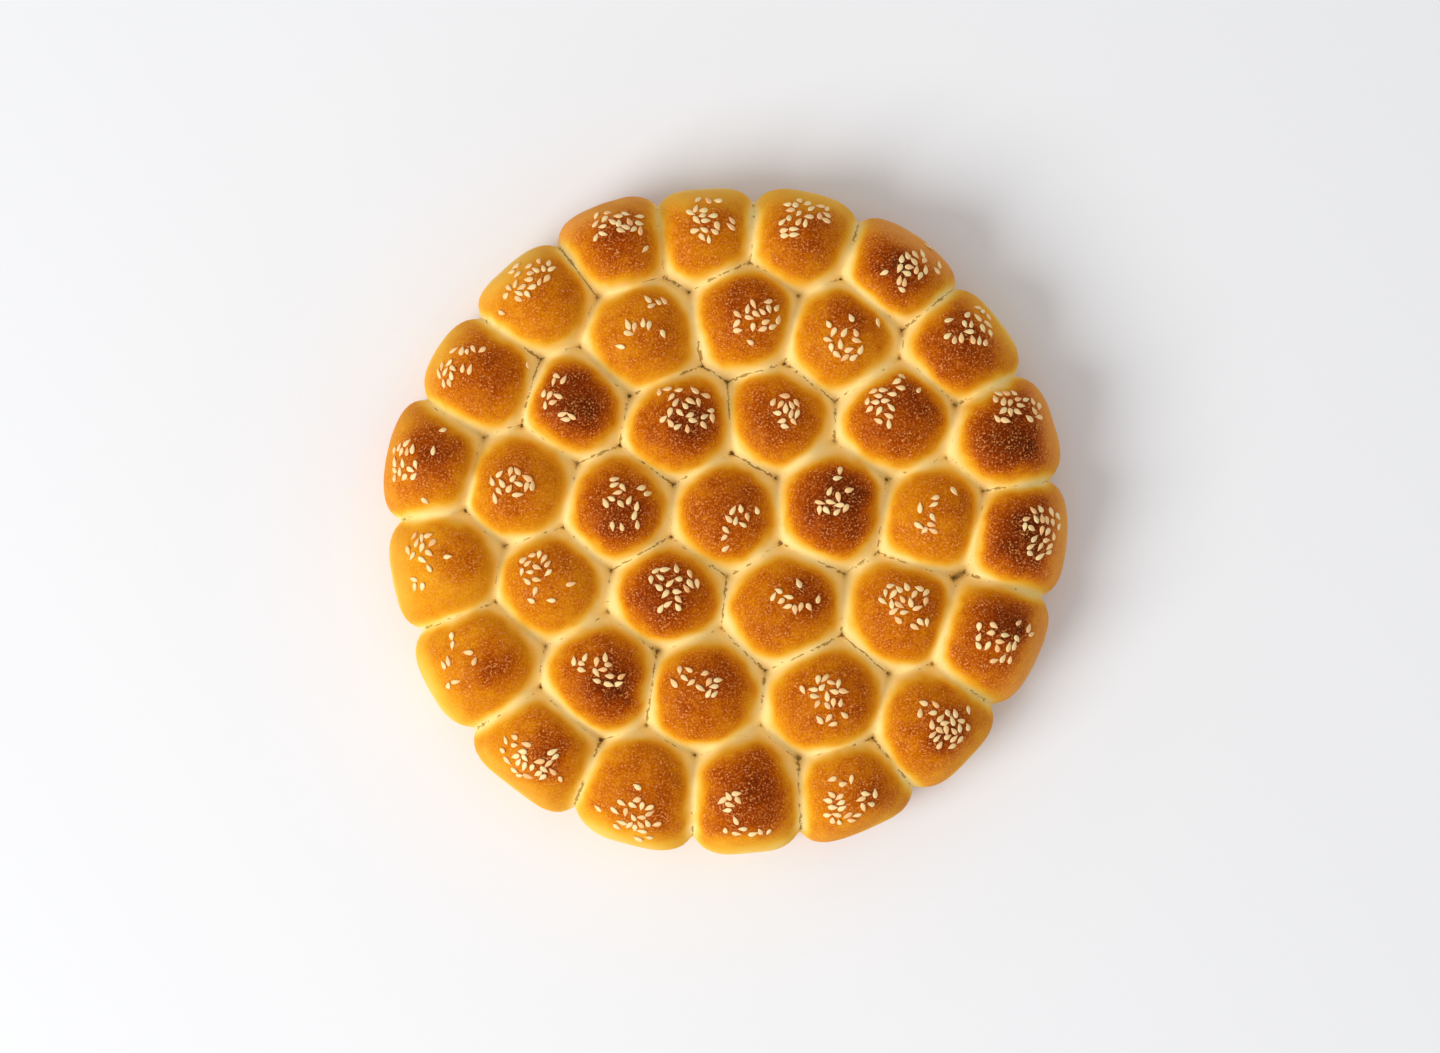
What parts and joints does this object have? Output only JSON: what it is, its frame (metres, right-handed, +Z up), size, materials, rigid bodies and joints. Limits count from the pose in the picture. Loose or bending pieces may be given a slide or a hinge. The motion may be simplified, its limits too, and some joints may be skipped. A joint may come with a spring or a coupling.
{
  "type": "pull-apart bread",
  "caption": "Round loaf of small domed buns baked against each other, with pale seams, browned tops and scattered sesame seeds, flat underneath.",
  "frame": {"origin": "middle of the flat base, at the centre of the round loaf", "axes": "+Z up, from the base to the browned tops; +X to the right and +Y to the top of the picture, which looks straight down"},
  "size_m": [0.2391, 0.2331, 0.0442],
  "materials": {
    "crust": "baked bread crust, brown on the tops and pale cream in the seams, soft sheen",
    "sesame": "toasted sesame seeds, cream to golden, satin"
  },
  "bodies": {
    "root": {"bread": "crust"}
  },
  "joints": []
}
